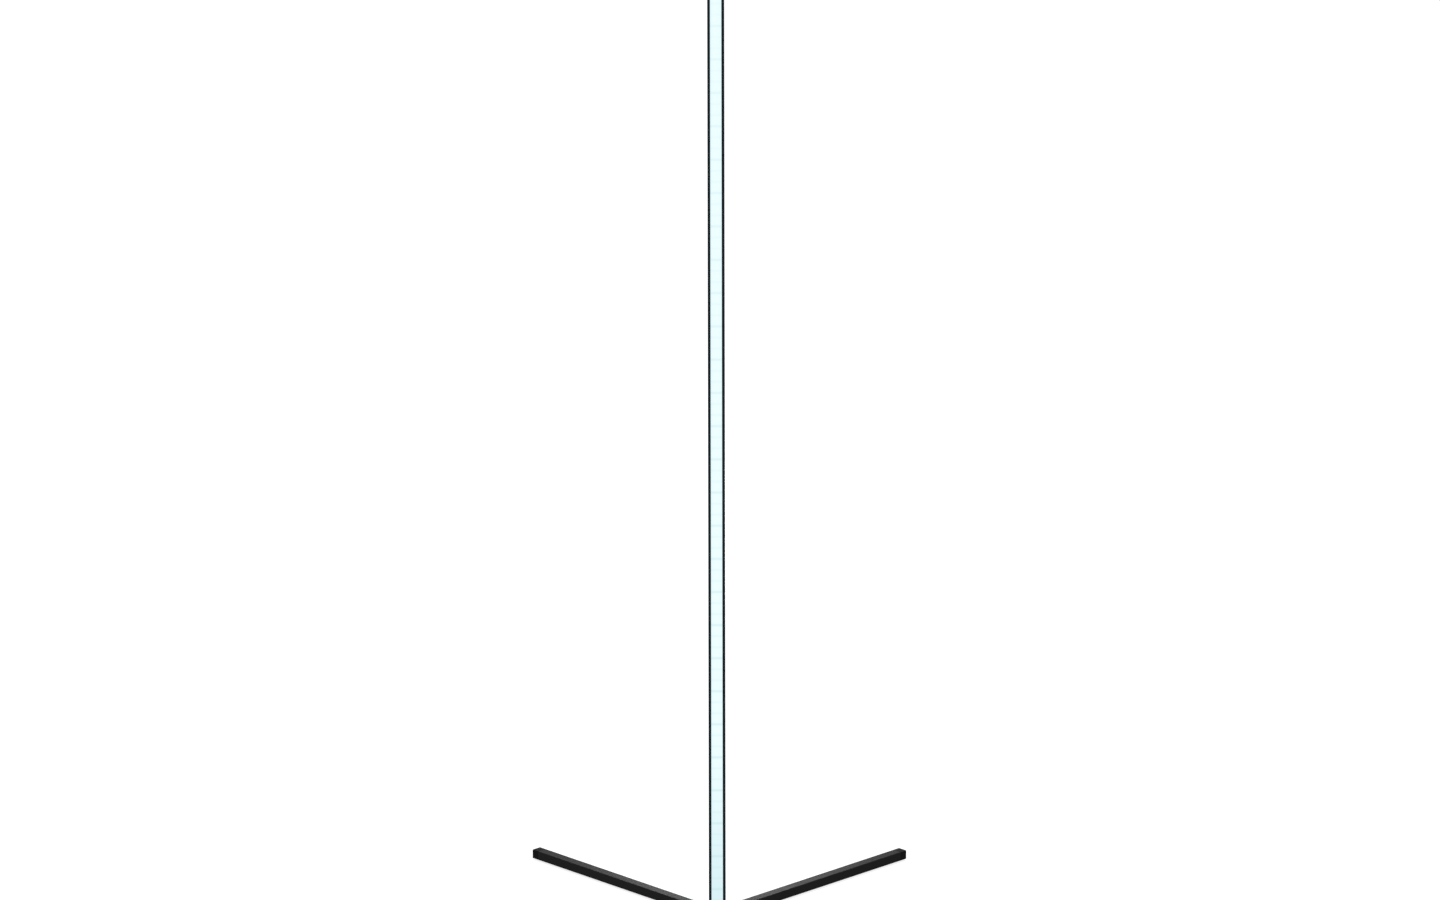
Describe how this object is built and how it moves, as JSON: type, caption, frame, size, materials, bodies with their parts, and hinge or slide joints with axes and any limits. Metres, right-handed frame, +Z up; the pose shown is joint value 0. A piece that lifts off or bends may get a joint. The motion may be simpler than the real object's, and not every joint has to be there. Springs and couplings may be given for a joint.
{
  "type": "corner floor lamp",
  "caption": "Slim upright light bar with a milky front between black lips, on a small hub whose flat black legs spread in a V along the walls of a corner.",
  "frame": {"origin": "on the floor under the middle of the pole's section, in the plane of the hub pad's underside", "axes": "+Z up along the pole, -Y out of the lit front, +X to the right seen from the front; the legs run to +Y with -X and +Y with +X"},
  "size_m": [0.5372, 0.2816, 1.425],
  "materials": {
    "black_anodised": "satin black anodised extrusion",
    "raw_aluminium": "mill finish",
    "black_screw": "black oxide",
    "milky_diffuser": "milky translucent, lit from behind",
    "strip_board": "white solder mask",
    "led_package": "clear resin over phosphor",
    "resistor_body": "matt",
    "black_moulding": "fine spark texture",
    "black_powder_coat": "fine textured powder coat",
    "black_rubber": "matt",
    "jack_moulding": "semi-gloss moulded",
    "plated_contact": "nickel plated",
    "lead_insulation": "smooth"
  },
  "bodies": {
    "root": {"bottom_channel": "black_anodised", "middle_channel": "black_anodised", "top_channel": "black_anodised", "lower_splice": "raw_aluminium", "upper_splice": "raw_aluminium", "splice_screws": "black_screw", "diffuser": "milky_diffuser", "led_strip": "strip_board", "led_chips": "led_package", "strip_resistors": "resistor_body", "top_cap": "black_moulding", "hub": "black_powder_coat", "hub_cover": "black_moulding", "cover_screw": "black_screw", "pole_screws": "black_screw", "hub_pad": "black_rubber", "left_leg": "black_powder_coat", "left_leg_cap": "black_moulding", "left_foot": "black_rubber", "right_leg": "black_powder_coat", "right_leg_cap": "black_moulding", "right_foot": "black_rubber", "leg_screws": "black_screw", "jack_housing": "jack_moulding", "jack_nut": "jack_moulding", "jack_pin": "plated_contact", "jack_spring": "plated_contact", "supply_leads": "lead_insulation"}
  },
  "joints": []
}
